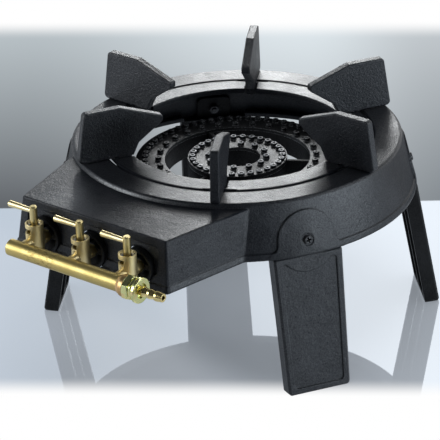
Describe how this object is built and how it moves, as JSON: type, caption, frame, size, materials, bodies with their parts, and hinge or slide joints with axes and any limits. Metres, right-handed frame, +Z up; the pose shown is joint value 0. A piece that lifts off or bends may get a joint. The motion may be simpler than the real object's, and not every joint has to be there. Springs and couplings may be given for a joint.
{
  "type": "wok burner",
  "caption": "Cast-iron gas wok burner: round body with a nose, pan fins on a lift-out ring, ring burners with lift-off caps, bolted legs and a brass manifold of lever cocks.",
  "frame": {"origin": "middle of the footprint on the floor", "axes": "+Z up; the cocks and manifold face -Y; the hose barb points along +X"},
  "size_m": [0.4286, 0.5224, 0.2775],
  "materials": {
    "cast_iron": "black satin paint on a grainy casting",
    "burner_iron": "black cast iron, worn brighter on the nipple rims",
    "satin_brass": "satin machined brass",
    "bright_brass": "polished brass",
    "yellow_zinc": "yellow zinc plate with a faint iridescence",
    "black_steel": "black painted steel",
    "plain_steel": "plain zinc-plated steel"
  },
  "bodies": {
    "stove": {"stove_body": "cast_iron", "leg_front_right": "cast_iron", "leg_front_left": "cast_iron", "leg_rear_right": "cast_iron", "leg_rear_left": "cast_iron", "outer_burner_base": "burner_iron", "inner_burner_base": "burner_iron", "leg_screws": "black_steel", "leg_nuts": "plain_steel", "burner_bolts": "plain_steel", "burner_nuts": "plain_steel", "gas_manifold": "satin_brass", "manifold_plug": "satin_brass", "manifold_collar": "yellow_zinc", "union_nut": "yellow_zinc", "hose_tail": "bright_brass", "valve_body_left": "satin_brass", "injector_left": "satin_brass", "valve_retainer_left": "plain_steel", "valve_body_centre": "satin_brass", "injector_centre": "satin_brass", "valve_retainer_centre": "plain_steel", "valve_body_right": "satin_brass", "injector_right": "satin_brass", "valve_retainer_right": "plain_steel"},
    "pan_support": {"pan_support_ring": "cast_iron", "pan_fin_1": "cast_iron", "pan_fin_2": "cast_iron", "pan_fin_3": "cast_iron", "pan_fin_4": "cast_iron", "pan_fin_5": "cast_iron", "pan_fin_6": "cast_iron"},
    "outer_cap": {"outer_burner_cap": "burner_iron"},
    "inner_cap": {"inner_burner_cap": "burner_iron"},
    "valve_left": {"valve_plug_left": "bright_brass", "valve_lever_left": "bright_brass", "valve_pin_left": "plain_steel", "valve_spring_left": "plain_steel"},
    "valve_centre": {"valve_plug_centre": "bright_brass", "valve_lever_centre": "bright_brass", "valve_pin_centre": "plain_steel", "valve_spring_centre": "plain_steel"},
    "valve_right": {"valve_plug_right": "bright_brass", "valve_lever_right": "bright_brass", "valve_pin_right": "plain_steel", "valve_spring_right": "plain_steel"}
  },
  "joints": [
    {"name": "pan_support_lift", "type": "slide", "parent": "stove", "child": "pan_support", "axis": [0, 0, 1], "range_m": [0, 0.06]},
    {"name": "outer_cap_lift", "type": "slide", "parent": "stove", "child": "outer_cap", "axis": [0, 0, 1], "range_m": [0, 0.03]},
    {"name": "inner_cap_lift", "type": "slide", "parent": "stove", "child": "inner_cap", "axis": [0, 0, 1], "range_m": [0, 0.03]},
    {"name": "valve_left_turn", "type": "hinge", "parent": "stove", "child": "valve_left", "pos_m": [-0.065, -0.22108, 0.177], "axis": [0, 0, 1], "range_deg": [0, 90]},
    {"name": "valve_centre_turn", "type": "hinge", "parent": "stove", "child": "valve_centre", "pos_m": [0, -0.22108, 0.177], "axis": [0, 0, 1], "range_deg": [0, 90]},
    {"name": "valve_right_turn", "type": "hinge", "parent": "stove", "child": "valve_right", "pos_m": [0.065, -0.22108, 0.177], "axis": [0, 0, 1], "range_deg": [0, 90]}
  ]
}
